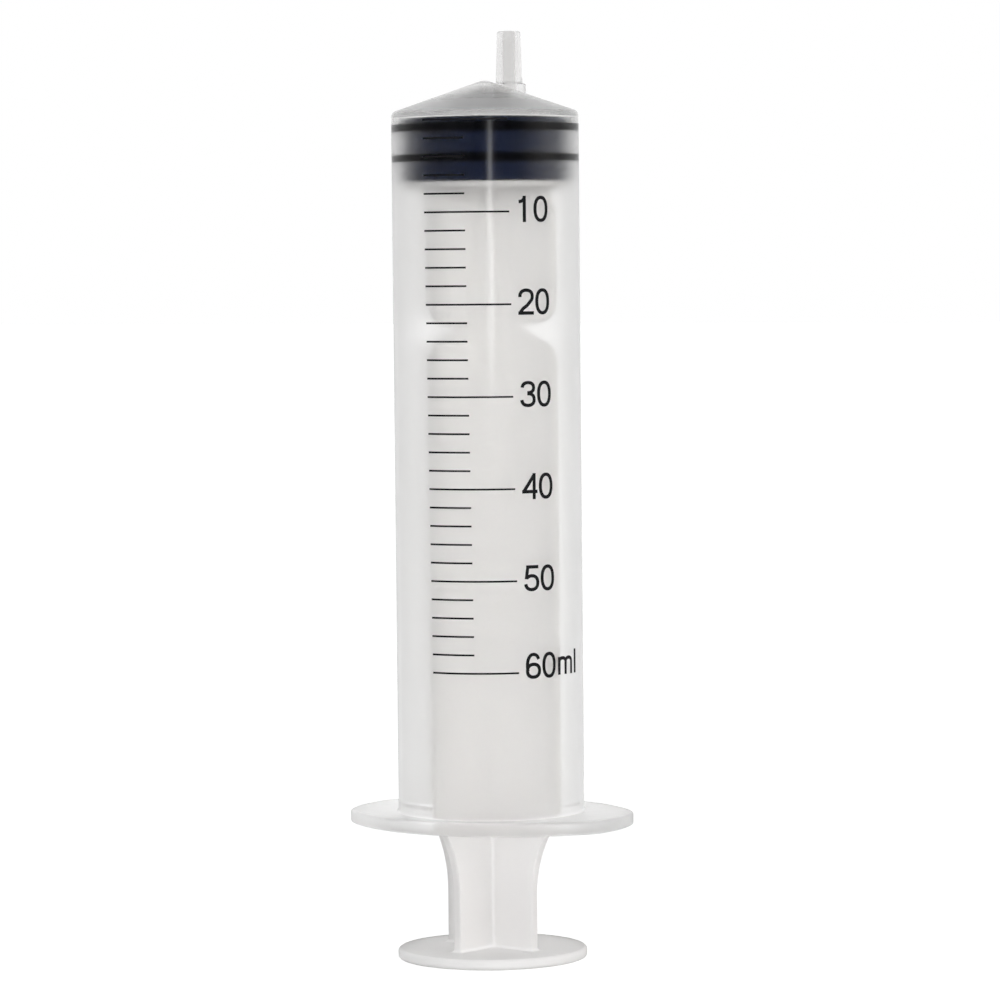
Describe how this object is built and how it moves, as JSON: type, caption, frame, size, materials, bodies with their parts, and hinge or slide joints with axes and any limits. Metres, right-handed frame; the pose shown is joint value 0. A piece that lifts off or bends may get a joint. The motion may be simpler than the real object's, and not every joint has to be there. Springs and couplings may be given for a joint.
{
  "type": "oral syringe",
  "caption": "Large three-piece syringe with a graduated translucent barrel, oval finger flange, off-centre slip tip, crossed-fin plunger rod with a break notch, and rubber stopper.",
  "frame": {"origin": "on the axis of the barrel, at the underside of the thumb disc, where the syringe stands", "axes": "+Z along the barrel's axis towards the tip, X along the long way of the finger flange, +Y towards the off-centre tip"},
  "size_m": [0.0482, 0.0374, 0.1552],
  "materials": {
    "barrel_plastic": "translucent moulded polypropylene, smooth, slightly frosted",
    "rod_plastic": "translucent moulded polypropylene, smooth",
    "stopper_rubber": "dark blue-black moulded rubber, lubricated",
    "scale_ink": "black printing ink, satin"
  },
  "bodies": {
    "plunger": {"plunger_rod": "rod_plastic"},
    "stopper_body": {"stopper": "stopper_rubber"},
    "barrel_body": {"barrel": "barrel_plastic", "numbered_lines": "scale_ink", "short_lines": "scale_ink", "numbers": "scale_ink"}
  },
  "joints": [
    {"name": "rod_twist", "type": "hinge", "parent": "plunger", "child": "stopper_body", "pos_m": [0, 0, 0.13], "axis": [0, 0, 1], "continuous": true},
    {"name": "stroke", "type": "slide", "parent": "stopper_body", "child": "barrel_body", "axis": [0, 0, 1], "range_m": [0, 0.1055]}
  ]
}
